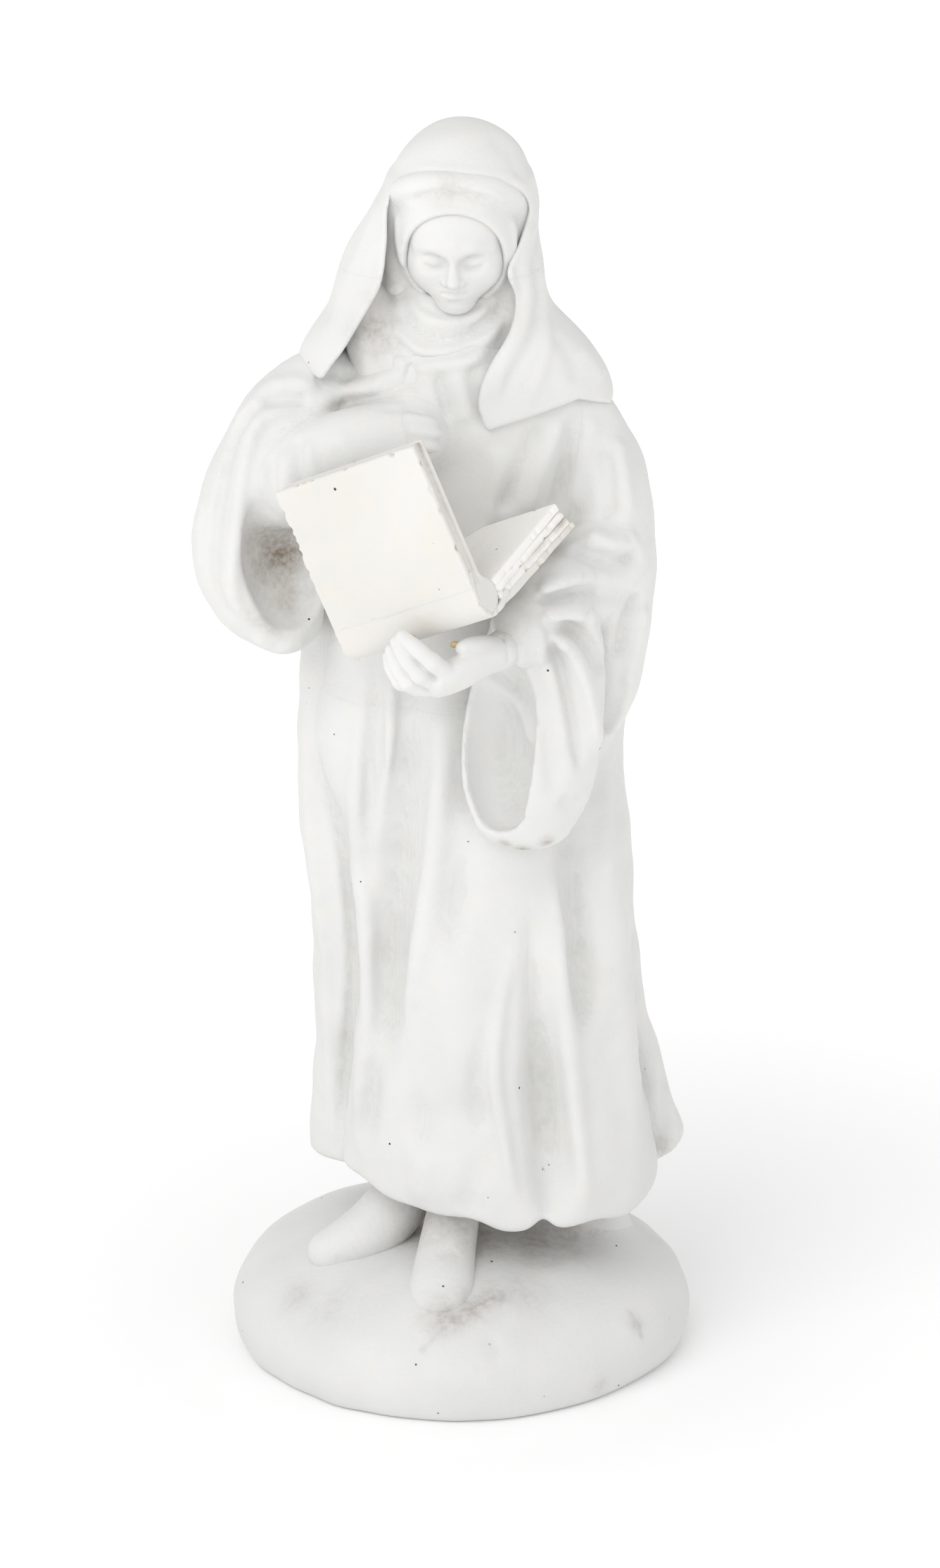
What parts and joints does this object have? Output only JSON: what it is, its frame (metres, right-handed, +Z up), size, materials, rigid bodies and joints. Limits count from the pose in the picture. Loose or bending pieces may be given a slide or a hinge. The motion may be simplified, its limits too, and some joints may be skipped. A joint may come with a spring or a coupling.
{
  "type": "madonna statue",
  "caption": "Veiled standing woman reading an open book, hollow bisque porcelain statuette on a round pebble-shaped mound.",
  "frame": {"origin": "on the floor, under the middle of the bounding box", "axes": "+Z up, the figure faces -Y and its left hand is towards +X"},
  "size_m": [0.1154, 0.1146, 0.3],
  "materials": {
    "bisque_white": "matt unglazed, softly worn",
    "bisque_cool": "matt unglazed, faint grey mottling",
    "bisque_cream": "matt unglazed, warmer tone",
    "aged_glue": "glossy amber"
  },
  "bodies": {
    "root": {"base_mound": "bisque_cool", "robe_skirt": "bisque_cool", "skirt_closing_plate": "bisque_cool", "robe_train": "bisque_cool", "cloak": "bisque_cool", "right_foot": "bisque_white", "left_foot": "bisque_white", "robe_torso": "bisque_white", "right_sleeve": "bisque_white", "right_forearm": "bisque_white", "right_hand": "bisque_white", "left_upper_sleeve": "bisque_white", "left_sleeve_bell": "bisque_white", "left_forearm": "bisque_white", "left_hand": "bisque_white", "wimple_band": "bisque_white", "gorget": "bisque_white", "veil_crown": "bisque_white", "veil_right_flap": "bisque_white", "veil_left_flap": "bisque_white", "veil_back_fall": "bisque_white", "head": "bisque_cream", "book_front_board": "bisque_cream", "book_front_leaves": "bisque_cream", "book_spine": "bisque_cream", "book_rear_leaves_1": "bisque_cream", "book_rear_leaves_2": "bisque_cream", "book_rear_leaves_3": "bisque_cream", "book_rear_board": "bisque_cream", "glue_bead_index": "aged_glue", "glue_bead_thumb": "aged_glue"}
  },
  "joints": []
}
